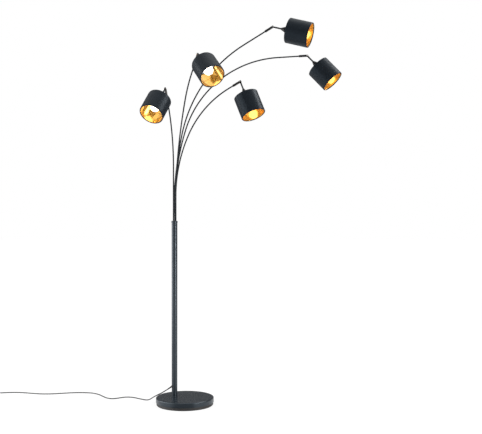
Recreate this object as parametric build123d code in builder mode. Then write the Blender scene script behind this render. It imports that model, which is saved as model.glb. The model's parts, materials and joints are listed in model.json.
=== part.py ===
from build123d import *
from math import cos, pi, radians, sin, sqrt, tan
import os

os.makedirs("parts", exist_ok=True)

# Tree floor lamp: a weighted round base, an off-centre pole, and five bent arms that stand in the
# pole's head. Each arm ends in a turning grip with a screwed knuckle that carries a small drum shade.
# Millimetres. The origin is the centre of the base's underside, on the floor; +Z is up, +X points
# along the two longest arms and +Y is the back of the lamp.

# ---- Base ----
base_diameter = 300.0
base_height = 40.0
base_edge_radius = 5.0
cover_sheet = 1.5
weight_reveal = 3.0
weight_thickness = 13.0
weight_edge_radius = 2.0
weight_boss_diameter = 60.0
pad_reveal = 3.0
pad_thickness = 2.5

# ---- Bolt that holds the pole to the base ----
bolt_diameter = 10.0
bolt_length = 45.0
bolt_head_width = 17.0
bolt_head_height = 6.4
washer_diameter = 20.0
washer_thickness = 2.0
bolt_recess_diameter = 26.0
bolt_recess_depth = 9.0
bolt_hole_gap = 0.25

# ---- Pole ----
pole_offset_x = -56.0
pole_offset_y = 26.0
pole_diameter = 30.0
pole_wall = 1.2
pole_length = 903.0
pole_plug_length = 18.0
thread_gap = 0.05
cap_diameter = 32.5
cap_height = 10.0
cap_bevel = 2.5
cap_spigot_length = 15.0
socket_depth_below_pole_top = 42.0
socket_length = 30.0
socket_floor = 10.0
inner_fit_gap = 0.1

# ---- Arms ----
arm_diameter = 7.0
arm_wall = 0.8
arm_circle_radius = 6.8
arm_first_hole_angle = 6.0
arm_running_gap = 0.05
wire_hole_diameter = 4.0

# Straight ends of the arms, the two right-hand ones long.
left_tip_length = 58.0
front_tip_length = 110.0
upper_right_tip_length = 173.0
lower_right_tip_length = 157.0
middle_tip_length = 66.0

# hole: place on the ring of holes in the pole's head; heading: direction of the arm seen from above;
# upright: straight length above the cap; bends: radius and angle of each arc; tip: straight end;
# shade_heading and shade_pitch: the way the shade opens.
arms = [
    dict(number=1, hole=2, heading=-114.0, upright=284.0, bends=[(920.0, 16.0), (960.0, 5.5)],
         tip=left_tip_length, shade_heading=-116.2, shade_pitch=-47.9),
    dict(number=2, hole=4, heading=-60.5, upright=10.0, bends=[(1553.0, 23.0), (485.0, 16.7)],
         tip=front_tip_length, shade_heading=-59.0, shade_pitch=-41.4),
    dict(number=3, hole=3, heading=-19.0, upright=10.0, bends=[(2030.0, 12.4), (662.0, 49.9)],
         tip=upper_right_tip_length, shade_heading=-15.7, shade_pitch=-15.6),
    dict(number=4, hole=1, heading=1.8, upright=103.0, bends=[(1265.0, 17.1), (543.0, 68.9)],
         tip=lower_right_tip_length, shade_heading=-18.8, shade_pitch=-46.3),
    dict(number=5, hole=0, heading=-16.0, upright=130.0, bends=[(747.0, 25.4), (506.0, 36.6)],
         tip=middle_tip_length, shade_heading=-39.7, shade_pitch=-63.9),
]

# ---- Grip and knuckle ----
grip_diameter = 12.0
grip_length = 44.0
grip_end_radius = 1.0
grip_socket_depth = 28.0
fork_slot_width = 4.2
fork_slot_depth = 10.5
fork_flat_width = 10.4
fork_flat_length = 7.0
screw_diameter = 4.0
screw_gap = 0.05
screw_head_diameter = 7.2
screw_head_height = 2.4
screw_head_radius = 1.0
screw_slot_width = 0.9
screw_slot_depth = 0.8
nut_width = 7.0
nut_height = 3.2
screw_end_past_nut = 0.5

# ---- Stem of the head ----
eye_thickness = 4.0
neck_width = 7.2
neck_length = 12.0
stem_diameter = 8.0
stem_bore = 4.0
stem_end = 51.0
stem_taper_length = 2.0

# ---- Lamp holder, measured from the knuckle ----
holder_cap_start = 45.0
holder_cap_length = 25.0
holder_cap_straight = 6.0
holder_cap_nose_diameter = 10.0
holder_cap_sheet = 1.2
holder_diameter = 26.8
holder_neck_diameter = 23.0
holder_neck_length = 6.0
holder_mouth_bevel = 0.5
holder_mouth = 113.5
holder_collar_diameter = 34.0
holder_collar_thickness = 2.0
holder_bore_floor = 84.0
bulb_screw_diameter = 14.0
bulb_screw_gap = 0.2
ring_nut_diameter = 37.0
ring_nut_height = 6.0
ring_nut_flutes = 16
ring_nut_flute_diameter = 2.4

# ---- Shade ----
shade_start = 82.0
shade_length = 117.0
shade_diameter = 125.0
shade_sheet = 0.8
ring_inset = 2.0
ring_wire_diameter = 2.4
ring_gap = 0.1
liner_sheet = 0.6
liner_gap = 0.2
spoke_count = 3
spoke_first_angle = 90.0
carrier_ring_diameter = 40.0
carrier_ring_thickness = 2.0

# ---- Bulb ----
bulb_diameter = 45.0
bulb_length = 78.0
bulb_cap_length = 21.0
bulb_contact_length = 2.5
bulb_contact_diameter = 6.0
bulb_glass = 0.9
bulb_neck_diameter = 15.5
bulb_collar_length = 3.0

# ---- Wiring inside the pole ----
flex_diameter = 2.8
flex_reach_into_arm = 20.0
terminal_width = 20.0
terminal_depth = 18.0
terminal_height = 26.0
terminal_floor = 110.0

# ---- Mains cord ----
cord_diameter = 5.6
cord_floor_gap = 0.1
cord_bore_gap = 0.1
cord_seat_depth = 6.0
cord_run_at_gland = 16.0
cord_run_at_switch = 14.0
cord_bend_share = 0.45
gland_height = 92.0
gland_heading = -140.0
gland_pitch = -25.0
gland_neck_diameter = 7.8
gland_hole_diameter = 8.0
gland_neck_length = 6.0
gland_flange_diameter = 10.5
gland_flange_thickness = 2.0
gland_nose_length = 6.0
gland_nose_diameter = 7.6
gland_seat_gap = 0.05

# ---- Foot switch ----
switch_x = -1135.0
switch_y = 260.0
switch_length = 84.0
switch_width = 42.0
switch_height = 22.0
switch_wall = 2.2
switch_edge_radius = 5.0
switch_plate_thickness = 2.5
switch_nose_length = 8.0
switch_nose_diameter = 11.0
switch_cord_height = 7.0
button_diameter = 24.0
button_gap = 0.3
button_flange_diameter = 28.0
button_flange_thickness = 2.2
button_proud = 3.5
button_travel = 3.0
button_skirt = 4.0
button_edge_radius = 1.5
switch_post_diameter = 16.0

# ---- Coil and plug ----
coil_lead = 43.0
coil_radius = 36.0
coil_pitch = 6.3
coil_layer_rise = 6.2
coil_turns_each_layer = 2
coil_probe_turns = 1e-4
same_direction_limit = 1e-9
gap_sample_step = 3.0
gap_sample_apart = 30.0
coil_tail = 32.0
plug_straight = 12.0
plug_cord_height = 7.0
plug_nose_length = 12.0
plug_nose_diameter = 10.0
plug_length = 32.0
plug_width = 26.0
plug_thickness = 14.0
plug_shoulder_width = 18.0
plug_edge_radius = 2.5
plug_pin_diameter = 4.0
plug_pin_length = 19.0
plug_pin_spacing = 18.6
plug_pin_root_length = 4.0
plug_pin_root_diameter = 3.0
plug_pin_tip_radius = 0.8

# ---- Places that follow from the sizes above ----
weight_diameter = base_diameter - 2 * weight_reveal
pad_diameter = weight_diameter - 2 * pad_reveal
weight_top = pad_thickness + weight_thickness
cover_inside_top = base_height - cover_sheet
pole_radius = pole_diameter / 2
pole_bore_radius = pole_radius - pole_wall
pole_top = base_height + pole_length
cap_top = pole_top + cap_height
socket_top = pole_top - socket_depth_below_pole_top
socket_bottom = socket_top - socket_length
arm_foot = socket_bottom + socket_floor
cord_radius = cord_diameter / 2
cord_floor = cord_radius + cord_floor_gap
cord_bore_radius = cord_radius + cord_bore_gap


def write(part, label):
    part.label = label
    export_step(part, f"parts/{label}.step")


# Separate solids that share one node, such as a screw with its nut.
def write_group(builders, label):
    solids = [solid for builder in builders for solid in builder.part.solids()]
    write(Compound(solids), label)


# ------------------------------------------------------------------ base
with BuildPart() as base_pad:
    Cylinder(pad_diameter / 2, pad_thickness, align=(Align.CENTER, Align.CENTER, Align.MIN))
write(base_pad.part, "base_pad")

with BuildPart() as base_weight:
    with BuildSketch(Plane.XY.offset(pad_thickness)):
        Circle(weight_diameter / 2)
    extrude(amount=weight_thickness)
    fillet(base_weight.edges().group_by(Axis.Z)[0], weight_edge_radius)
    with BuildSketch(Plane.XY.offset(weight_top)):
        with Locations((pole_offset_x, pole_offset_y)):
            Circle(weight_boss_diameter / 2)
    extrude(amount=cover_inside_top - weight_top)
    with BuildSketch(Plane.XY.offset(pad_thickness)):
        with Locations((pole_offset_x, pole_offset_y)):
            Circle(bolt_recess_diameter / 2)
    extrude(amount=bolt_recess_depth, mode=Mode.SUBTRACT)
    with BuildSketch(Plane.XY.offset(pad_thickness)):
        with Locations((pole_offset_x, pole_offset_y)):
            Circle(bolt_diameter / 2 + bolt_hole_gap)
    extrude(amount=base_height, mode=Mode.SUBTRACT)
write(base_weight.part, "base_weight")

with BuildPart() as base_cover:
    with BuildSketch(Plane.XY.offset(weight_top)):
        Circle(base_diameter / 2)
    extrude(amount=base_height - weight_top)
    fillet(base_cover.edges().group_by(Axis.Z)[-1], base_edge_radius)
    offset(amount=-cover_sheet, openings=base_cover.faces().sort_by(Axis.Z)[0])
    with BuildSketch(Plane.XY.offset(cover_inside_top)):
        with Locations((pole_offset_x, pole_offset_y)):
            Circle(bolt_diameter / 2 + bolt_hole_gap)
    extrude(amount=cover_sheet, mode=Mode.SUBTRACT)
write(base_cover.part, "base_cover")

bolt_seat = pad_thickness + bolt_recess_depth - washer_thickness
with BuildPart() as base_bolt:
    with BuildSketch(Plane.XY.offset(bolt_seat - bolt_head_height)):
        with Locations((pole_offset_x, pole_offset_y)):
            RegularPolygon(bolt_head_width / 2, 6, major_radius=False)
    extrude(amount=bolt_head_height)
    with BuildSketch(Plane.XY.offset(bolt_seat)):
        with Locations((pole_offset_x, pole_offset_y)):
            Circle(bolt_diameter / 2)
    extrude(amount=bolt_length)
with BuildPart() as base_washer:
    with BuildSketch(Plane.XY.offset(bolt_seat)):
        with Locations((pole_offset_x, pole_offset_y)):
            Circle(washer_diameter / 2)
            Circle(bolt_diameter / 2 + bolt_hole_gap, mode=Mode.SUBTRACT)
    extrude(amount=washer_thickness)
write_group([base_bolt, base_washer], "base_bolt")

# ------------------------------------------------------------------ pole
pole_axis_point = Vector(pole_offset_x, pole_offset_y, 0)


# A direction from its heading (seen from above, from +X) and its pitch above the level.
def direction(heading, pitch):
    level = cos(radians(pitch))
    return Vector(level * cos(radians(heading)), level * sin(radians(heading)), sin(radians(pitch)))


gland_direction = direction(gland_heading, gland_pitch)
gland_point = pole_axis_point + direction(gland_heading, 0) * pole_radius + Vector(0, 0, gland_height)
gland_side = Vector(0, 0, 1).cross(gland_direction).normalized()


# A plane square to the gland's axis, a distance out from the pole's skin.
def gland_plane(distance):
    return Plane(origin=gland_point + gland_direction * distance, x_dir=gland_side, z_dir=gland_direction)


with BuildPart() as pole_tube:
    with BuildSketch(Plane.XY.offset(base_height)):
        with Locations((pole_offset_x, pole_offset_y)):
            Circle(pole_radius)
    extrude(amount=pole_length)
    with BuildSketch(Plane.XY.offset(base_height + pole_plug_length)):
        with Locations((pole_offset_x, pole_offset_y)):
            Circle(pole_bore_radius)
    extrude(amount=pole_length, mode=Mode.SUBTRACT)
    with BuildSketch(Plane.XY.offset(base_height)):
        with Locations((pole_offset_x, pole_offset_y)):
            Circle(bolt_diameter / 2 + thread_gap)
    extrude(amount=pole_plug_length, mode=Mode.SUBTRACT)
    with BuildSketch(gland_plane(-pole_radius / 2)):
        Circle(gland_hole_diameter / 2)
    extrude(amount=pole_radius, mode=Mode.SUBTRACT)
write(pole_tube.part, "pole_tube")

with BuildPart() as cord_gland:
    with BuildSketch(gland_plane(-gland_neck_length)):
        Circle(gland_flange_diameter / 2)
    extrude(amount=gland_neck_length + gland_flange_thickness)
    with BuildSketch(gland_plane(gland_flange_thickness)) as nose_root:
        Circle(gland_flange_diameter / 2 - gland_flange_thickness / 4)
    with BuildSketch(gland_plane(gland_nose_length)) as nose_tip:
        Circle(gland_nose_diameter / 2)
    loft()
    with Locations((pole_offset_x, pole_offset_y, gland_height)):
        Cylinder(pole_radius + gland_seat_gap, 4 * gland_flange_diameter, mode=Mode.SUBTRACT)
    with BuildSketch(gland_plane(-gland_neck_length)):
        Circle(gland_neck_diameter / 2)
    extrude(amount=gland_neck_length + gland_flange_thickness)
    with BuildSketch(gland_plane(gland_nose_length)):
        Circle(cord_bore_radius)
    extrude(amount=-cord_seat_depth, mode=Mode.SUBTRACT)
    with BuildSketch(gland_plane(gland_nose_length)):
        Circle(wire_hole_diameter / 2)
    extrude(amount=-gland_nose_length - 2 * gland_neck_length, mode=Mode.SUBTRACT)
write(cord_gland.part, "cord_gland")


# The hole in the pole's head in which an arm stands.
def hole_centre(place):
    angle = radians(arm_first_hole_angle + 360 / len(arms) * place)
    return pole_axis_point + Vector(cos(angle), sin(angle), 0) * arm_circle_radius


hole_centres = [hole_centre(place) for place in range(len(arms))]
hole_places = [(centre.X, centre.Y) for centre in hole_centres]
arm_hole_radius = arm_diameter / 2 + arm_running_gap

with BuildPart() as pole_cap:
    with BuildSketch(Plane.XY.offset(pole_top)):
        with Locations((pole_offset_x, pole_offset_y)):
            Circle(cap_diameter / 2)
    extrude(amount=cap_height)
    chamfer(pole_cap.edges().group_by(Axis.Z)[-1], cap_bevel)
    with BuildSketch(Plane.XY.offset(pole_top - cap_spigot_length)):
        with Locations((pole_offset_x, pole_offset_y)):
            Circle(pole_bore_radius - inner_fit_gap)
    extrude(amount=cap_spigot_length)
    with BuildSketch(Plane.XY.offset(pole_top - cap_spigot_length)):
        with Locations(*hole_places):
            Circle(arm_hole_radius)
    extrude(amount=cap_spigot_length + cap_height, mode=Mode.SUBTRACT)
write(pole_cap.part, "pole_cap")

with BuildPart() as arm_socket:
    with BuildSketch(Plane.XY.offset(socket_bottom)):
        with Locations((pole_offset_x, pole_offset_y)):
            Circle(pole_bore_radius - inner_fit_gap)
    extrude(amount=socket_length)
    with BuildSketch(Plane.XY.offset(arm_foot)):
        with Locations(*hole_places):
            Circle(arm_hole_radius)
    extrude(amount=socket_length, mode=Mode.SUBTRACT)
    with BuildSketch(Plane.XY.offset(socket_bottom)):
        with Locations(*hole_places):
            Circle(wire_hole_diameter / 2)
    extrude(amount=socket_length, mode=Mode.SUBTRACT)
write(arm_socket.part, "arm_socket")

# Terminal block above the cord's entry, and a flex from it into each arm.
with BuildPart() as terminal_block:
    with BuildSketch(Plane.XY.offset(terminal_floor)):
        with Locations((pole_offset_x, pole_offset_y)):
            Rectangle(terminal_width, terminal_depth)
    extrude(amount=terminal_height)
flex_length = arm_foot + flex_reach_into_arm - terminal_floor - terminal_height
with BuildPart() as flexes:
    with BuildSketch(Plane.XY.offset(terminal_floor + terminal_height)):
        with Locations(*hole_places):
            Circle(flex_diameter / 2)
    extrude(amount=flex_length)
write_group([terminal_block, flexes], "inner_wiring")


# ------------------------------------------------------------------ arms
# The middle line of an arm: foot, end of the upright, then middle and end of each bend, all in the
# upright plane of its heading. Returns the points, the knuckle and the direction of the tip.
def arm_line(arm):
    foot = hole_centres[arm["hole"]]
    outward = direction(arm["heading"], 0)
    out = 0.0
    height = cap_top + arm["upright"]
    lean = 0.0
    points = [foot + Vector(0, 0, arm_foot), foot + Vector(0, 0, height)]
    for radius, angle in arm["bends"]:
        for part_angle in (angle / 2, angle):
            turned = radians(lean + part_angle)
            start = radians(lean)
            step_out = radius * (cos(start) - cos(turned))
            step_up = radius * (sin(turned) - sin(start))
            points.append(foot + outward * (out + step_out) + Vector(0, 0, height + step_up))
        out += step_out
        height += step_up
        lean += angle
    tip_direction = direction(arm["heading"], 90 - lean)
    knuckle = points[-1] + tip_direction * arm["tip"]
    return points, knuckle, tip_direction


# A plane through the knuckle that holds the line along a piece, for profiles that are turned: its
# X runs along the knuckle's screw and its Y along the piece.
def side_plane(knuckle, along, hinge):
    return Plane(origin=knuckle, x_dir=hinge, z_dir=hinge.cross(along))


# A plane square to a piece, a distance along it from the knuckle, with X along the screw.
def cross_plane(knuckle, along, hinge, distance):
    return Plane(origin=knuckle + along * distance, x_dir=hinge, z_dir=along)


def make_arm_tube(number, points, knuckle, tip_direction):
    tube_end = knuckle - tip_direction * (grip_length - grip_socket_depth)
    with BuildPart() as arm_tube:
        with BuildLine() as path:
            Line(points[0], points[1])
            ThreePointArc(points[1], points[2], points[3])
            ThreePointArc(points[3], points[4], points[5])
            Line(points[5], tube_end)
        with BuildSketch(Plane(origin=points[0], x_dir=(1, 0, 0), z_dir=(0, 0, 1))):
            Circle(arm_diameter / 2)
            Circle(arm_diameter / 2 - arm_wall, mode=Mode.SUBTRACT)
        sweep(path=path.wires()[0])
    write(arm_tube.part, f"arm_tube_{number}")


# Grip: turns on the arm's tip; its far end is a fork, rounded about the knuckle's screw.
def make_grip(number, knuckle, along, hinge):
    def square(distance):
        return cross_plane(knuckle, along, hinge, distance)

    grip_radius = grip_diameter / 2
    with BuildPart() as arm_grip:
        with BuildSketch(square(-grip_length)):
            Circle(grip_radius)
        extrude(amount=grip_length + grip_radius)
        with BuildSketch(side_plane(knuckle, hinge, along)):
            with Locations((-grip_length / 2, 0)):
                Rectangle(grip_length + grip_end_radius, 2 * grip_diameter)
            Circle(grip_radius)
        extrude(amount=grip_diameter, both=True, mode=Mode.INTERSECT)
        near_end = arm_grip.faces().sort_by(Axis(knuckle, along))[0]
        fillet(near_end.edges(), grip_end_radius)
        with BuildSketch(square(-grip_length)):
            Circle(arm_diameter / 2 + arm_running_gap)
        extrude(amount=grip_socket_depth, mode=Mode.SUBTRACT)
        with BuildSketch(square(-grip_length)):
            Circle(wire_hole_diameter / 2)
        extrude(amount=grip_length, mode=Mode.SUBTRACT)
        with BuildSketch(square(-fork_slot_depth)):
            Rectangle(fork_slot_width, 2 * grip_diameter)
        extrude(amount=fork_slot_depth + grip_diameter, mode=Mode.SUBTRACT)
        with BuildSketch(square(-fork_flat_length)):
            with Locations(
                (fork_flat_width / 2 + grip_radius, 0),
                (-fork_flat_width / 2 - grip_radius, 0),
            ):
                Rectangle(grip_diameter, 2 * grip_diameter)
        extrude(amount=fork_flat_length + grip_diameter, mode=Mode.SUBTRACT)
        with BuildSketch(Plane(origin=knuckle, x_dir=along, z_dir=hinge)):
            Circle(screw_diameter / 2 + screw_gap)
        extrude(amount=grip_diameter, both=True, mode=Mode.SUBTRACT)
    write(arm_grip.part, f"arm_grip_{number}")


# Knuckle screw with a rounded, slotted head, and its nut on the other cheek of the fork.
def make_knuckle_screw(number, knuckle, along, hinge):
    def on_screw(distance):
        return Plane(origin=knuckle + hinge * distance, x_dir=along, z_dir=hinge)

    seat = fork_flat_width / 2
    with BuildPart() as screw:
        with BuildSketch(on_screw(seat)):
            Circle(screw_head_diameter / 2)
        extrude(amount=screw_head_height)
        fillet(screw.faces().sort_by(Axis(knuckle, hinge))[-1].edges(), screw_head_radius)
        with BuildSketch(on_screw(seat + screw_head_height)):
            Rectangle(screw_slot_width, 2 * screw_head_diameter)
        extrude(amount=-screw_slot_depth, mode=Mode.SUBTRACT)
        with BuildSketch(on_screw(seat)):
            Circle(screw_diameter / 2)
        extrude(amount=-fork_flat_width - nut_height - screw_end_past_nut)
    with BuildPart() as nut:
        with BuildSketch(on_screw(-seat)):
            RegularPolygon(nut_width / 2, 6, major_radius=False)
            Circle(screw_diameter / 2 + screw_gap, mode=Mode.SUBTRACT)
        extrude(amount=-nut_height)
    write_group([screw, nut], f"knuckle_screw_{number}")


# Stem: an eye between the fork's cheeks, a flat neck that can swing past them, then a round tube.
def make_head_stem(number, knuckle, along, hinge):
    flat = Plane(origin=knuckle, x_dir=along, z_dir=hinge)
    stem_radius = stem_diameter / 2
    with BuildPart() as head_stem:
        with BuildSketch(flat):
            Circle(grip_diameter / 2)
            with Locations((neck_length / 2 + stem_taper_length / 2, 0)):
                Rectangle(neck_length + stem_taper_length, neck_width)
        extrude(amount=eye_thickness / 2, both=True)
        with BuildSketch(side_plane(knuckle, along, hinge)):
            with BuildLine():
                Polyline(
                    (0, neck_length),
                    (eye_thickness / 2, neck_length),
                    (stem_radius, neck_length + stem_taper_length),
                    (stem_radius, stem_end),
                    (0, stem_end),
                    close=True,
                )
            make_face()
        revolve(axis=Axis(knuckle, along))
        with BuildSketch(cross_plane(knuckle, along, hinge, stem_end)):
            Circle(stem_bore / 2)
        extrude(amount=neck_length + stem_taper_length - stem_end, mode=Mode.SUBTRACT)
        with BuildSketch(flat):
            Circle(screw_diameter / 2 + screw_gap)
        extrude(amount=eye_thickness, both=True, mode=Mode.SUBTRACT)
    write(head_stem.part, f"head_stem_{number}")


# Lamp holder set: a cone-shaped cap, the screw socket with its collar, and the ring nut that
# clamps the shade's carrier ring against that collar.
def make_lamp_holder(number, knuckle, along, hinge):
    axis = Axis(knuckle, along)
    side = side_plane(knuckle, along, hinge)
    cap_end = holder_cap_start + holder_cap_length
    cap_shoulder = cap_end - holder_cap_straight
    cap_radius = holder_diameter / 2
    nose_radius = holder_cap_nose_diameter / 2
    stem_hole = stem_diameter / 2 + thread_gap
    with BuildPart() as holder_cap:
        with BuildSketch(side):
            with BuildLine():
                Polyline(
                    (stem_hole, holder_cap_start),
                    (nose_radius, holder_cap_start),
                    (cap_radius, cap_shoulder),
                    (cap_radius, cap_end),
                    (cap_radius - holder_cap_sheet, cap_end),
                    (cap_radius - holder_cap_sheet, cap_shoulder),
                    (stem_hole, stem_end),
                    close=True,
                )
            make_face()
        revolve(axis=axis)
    neck_radius = holder_neck_diameter / 2
    neck_start = cap_end - holder_neck_length
    collar_start = shade_start + ring_inset - carrier_ring_thickness / 2 - holder_collar_thickness
    socket_radius = bulb_screw_diameter / 2 + bulb_screw_gap
    with BuildPart() as holder_body:
        with BuildSketch(side):
            with BuildLine():
                Polyline(
                    (0, neck_start),
                    (neck_radius, neck_start),
                    (neck_radius, cap_end),
                    (cap_radius, cap_end),
                    (cap_radius, collar_start),
                    (holder_collar_diameter / 2, collar_start),
                    (holder_collar_diameter / 2, collar_start + holder_collar_thickness),
                    (cap_radius, collar_start + holder_collar_thickness),
                    (cap_radius, holder_mouth),
                    (socket_radius, holder_mouth),
                    (socket_radius, holder_bore_floor),
                    (0, holder_bore_floor),
                    close=True,
                )
            make_face()
        revolve(axis=axis)
        mouth_edges = holder_body.faces().sort_by(axis)[-1].edges()
        chamfer(mouth_edges.sort_by(SortBy.RADIUS)[-1], holder_mouth_bevel)
    nut_start = collar_start + holder_collar_thickness + carrier_ring_thickness
    with BuildPart() as ring_nut:
        with BuildSketch(cross_plane(knuckle, along, hinge, nut_start)):
            Circle(ring_nut_diameter / 2)
            Circle(cap_radius + thread_gap, mode=Mode.SUBTRACT)
            with PolarLocations(ring_nut_diameter / 2, ring_nut_flutes):
                Circle(ring_nut_flute_diameter / 2, mode=Mode.SUBTRACT)
        extrude(amount=ring_nut_height)
    write_group([holder_cap, holder_body, ring_nut], f"lamp_holder_{number}")


# The two wire rings of the shade: the upper one has spokes and a flat ring for the lamp holder.
def make_shade_frame(number, knuckle, along, hinge):
    def square(distance):
        return cross_plane(knuckle, along, hinge, distance)

    upper = shade_start + ring_inset
    lower = shade_start + shade_length - ring_inset
    wire_radius = ring_wire_diameter / 2
    ring_radius = shade_diameter / 2 - shade_sheet - ring_gap - wire_radius
    carrier_radius = carrier_ring_diameter / 2
    with BuildPart() as carrier:
        with BuildSketch(square(upper - carrier_ring_thickness / 2)):
            Circle(carrier_radius)
            Circle(holder_diameter / 2 + liner_gap, mode=Mode.SUBTRACT)
        extrude(amount=carrier_ring_thickness)
        with BuildSketch(side_plane(knuckle, along, hinge)):
            with Locations((ring_radius, upper)):
                Circle(wire_radius)
        revolve(axis=Axis(knuckle, along))
        for spoke in range(spoke_count):
            angle = radians(spoke_first_angle + 360 / spoke_count * spoke)
            outward = hinge * cos(angle) + along.cross(hinge) * sin(angle)
            start = knuckle + along * upper + outward * (carrier_radius - wire_radius)
            with BuildSketch(Plane(origin=start, z_dir=outward)):
                Circle(wire_radius)
            extrude(amount=ring_radius - carrier_radius + wire_radius)
    with BuildPart() as mouth_ring:
        with BuildSketch(side_plane(knuckle, along, hinge)):
            with Locations((ring_radius, lower)):
                Circle(wire_radius)
        revolve(axis=Axis(knuckle, along))
    write_group([carrier, mouth_ring], f"shade_frame_{number}")


# Fabric of the shade: a stiff drum wall round the two wire rings.
def make_shade_cover(number, knuckle, along, hinge):
    with BuildPart() as shade_cover:
        with BuildSketch(cross_plane(knuckle, along, hinge, shade_start)):
            Circle(shade_diameter / 2)
            Circle(shade_diameter / 2 - shade_sheet, mode=Mode.SUBTRACT)
        extrude(amount=shade_length)
    write(shade_cover.part, f"shade_cover_{number}")


# Metallic liner inside the drum wall, between the two wire rings.
def make_shade_liner(number, knuckle, along, hinge):
    liner_radius = shade_diameter / 2 - shade_sheet - liner_gap
    liner_inset = ring_inset + ring_wire_diameter / 2 + liner_gap
    with BuildPart() as shade_liner:
        with BuildSketch(cross_plane(knuckle, along, hinge, shade_start + liner_inset)):
            Circle(liner_radius)
            Circle(liner_radius - liner_sheet, mode=Mode.SUBTRACT)
        extrude(amount=shade_length - 2 * liner_inset)
    write(shade_liner.part, f"shade_liner_{number}")


# Golf-ball bulb: a thin glass ball that narrows to a collar, and its screw cap with the contact.
def make_bulb(number, knuckle, along, hinge):
    axis = Axis(knuckle, along)
    side = side_plane(knuckle, along, hinge)
    ball_radius = bulb_diameter / 2
    neck_radius = bulb_neck_diameter / 2
    cap_start = holder_mouth - bulb_cap_length
    tip = cap_start - bulb_contact_length + bulb_length
    centre = tip - ball_radius
    glass_start = holder_mouth
    shoulder = centre - ball_radius * cos(pi / 4)
    inner_radius = ball_radius - bulb_glass
    with BuildPart() as glass:
        with BuildSketch(side):
            with BuildLine():
                Line((neck_radius - bulb_glass, glass_start), (neck_radius, glass_start))
                Line((neck_radius, glass_start), (neck_radius, glass_start + bulb_collar_length))
                Line(
                    (neck_radius, glass_start + bulb_collar_length),
                    (ball_radius * sin(pi / 4), shoulder),
                )
                ThreePointArc((ball_radius * sin(pi / 4), shoulder), (ball_radius, centre), (0, tip))
                Line((0, tip), (0, tip - bulb_glass))
                ThreePointArc(
                    (0, tip - bulb_glass),
                    (inner_radius, centre),
                    (inner_radius * sin(pi / 4), centre - inner_radius * cos(pi / 4)),
                )
                Line(
                    (inner_radius * sin(pi / 4), centre - inner_radius * cos(pi / 4)),
                    (neck_radius - bulb_glass, glass_start + bulb_collar_length),
                )
                Line(
                    (neck_radius - bulb_glass, glass_start + bulb_collar_length),
                    (neck_radius - bulb_glass, glass_start),
                )
            make_face()
        revolve(axis=axis)
    with BuildPart() as screw_cap:
        with BuildSketch(side):
            with BuildLine():
                Polyline(
                    (0, cap_start - bulb_contact_length),
                    (bulb_contact_diameter / 2, cap_start - bulb_contact_length),
                    (bulb_screw_diameter / 2, cap_start),
                    (bulb_screw_diameter / 2, glass_start),
                    (0, glass_start),
                    close=True,
                )
            make_face()
        revolve(axis=axis)
    write_group([glass, screw_cap], f"bulb_{number}")


for arm in arms:
    number = arm["number"]
    points, knuckle, tip_direction = arm_line(arm)
    shade_direction = direction(arm["shade_heading"], arm["shade_pitch"])
    hinge = tip_direction.cross(shade_direction).normalized()
    bend = tip_direction.get_angle(shade_direction)
    hole = hole_centres[arm["hole"]]
    print(f"arm {number} hole {hole.X:.3f} {hole.Y:.3f}")
    print(f"knuckle {number} at {knuckle.X:.3f} {knuckle.Y:.3f} {knuckle.Z:.3f} bend {bend:.2f}")
    print(f"tip {number} {tip_direction.X:.6f} {tip_direction.Y:.6f} {tip_direction.Z:.6f}")
    print(f"hinge {number} {hinge.X:.6f} {hinge.Y:.6f} {hinge.Z:.6f}")
    print(f"shade {number} {shade_direction.X:.6f} {shade_direction.Y:.6f} {shade_direction.Z:.6f}")
    make_arm_tube(number, points, knuckle, tip_direction)
    make_grip(number, knuckle, tip_direction, hinge)
    make_knuckle_screw(number, knuckle, tip_direction, hinge)
    make_head_stem(number, knuckle, shade_direction, hinge)
    make_lamp_holder(number, knuckle, shade_direction, hinge)
    make_shade_frame(number, knuckle, shade_direction, hinge)
    make_shade_cover(number, knuckle, shade_direction, hinge)
    make_shade_liner(number, knuckle, shade_direction, hinge)
    make_bulb(number, knuckle, shade_direction, hinge)

# ------------------------------------------------------------------ mains cord
# The free stretch: out of the gland, over the rim of the base, then along the floor to the foot
# switch. The first two points follow the gland and the last two the switch.
gland_seat = gland_point + gland_direction * (gland_nose_length - cord_seat_depth)
switch_right = switch_x + switch_length / 2 + switch_nose_length - cord_seat_depth
cord_points = [
    tuple(gland_seat),
    tuple(gland_seat + gland_direction * cord_run_at_gland),
    (-103.0, -7.0, 71.5),
    (-127.0, -16.0, 59.5),
    (-150.0, -13.5, 48.5),
    (-169.0, 3.5, 34.5),
    (-184.0, 31.0, 20.5),
    (-201.0, 62.0, 9.0),
    (-222.0, 97.0, cord_floor),
    (-252.0, 121.0, cord_floor),
    (-288.0, 154.0, cord_floor),
    (-329.0, 164.0, cord_floor),
    (-365.0, 136.0, cord_floor),
    (-397.0, 117.0, cord_floor),
    (-430.0, 138.0, cord_floor),
    (-458.0, 181.0, cord_floor),
    (-486.0, 226.0, cord_floor),
    (-525.0, 260.0, cord_floor),
    (-572.0, 271.0, cord_floor),
    (-628.0, 271.0, cord_floor),
    (-686.0, 256.0, cord_floor),
    (-742.0, 238.0, cord_floor),
    (-800.0, 236.0, cord_floor),
    (-858.0, 252.0, cord_floor),
    (-915.0, 272.0, cord_floor),
    (-970.0, 277.0, cord_floor),
    (-1018.0, 268.0, cord_floor),
    (-1052.0, 262.5, cord_floor),
    (switch_right + cord_run_at_switch, switch_y, switch_cord_height),
    (switch_right, switch_y, switch_cord_height),
]


# Bend radius at each point of a route: a share of the shorter run, over the tangent of half the turn.
def bend_radii(route):
    radii = []
    for before, here, after in zip(route, route[1:], route[2:]):
        run_in = Vector(here) - Vector(before)
        run_out = Vector(after) - Vector(here)
        turn = run_in.get_angle(run_out)
        shorter_run = min(run_in.length, run_out.length)
        radii.append(cord_bend_share * shorter_run / tan(radians(turn / 2)))
    return radii


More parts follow.
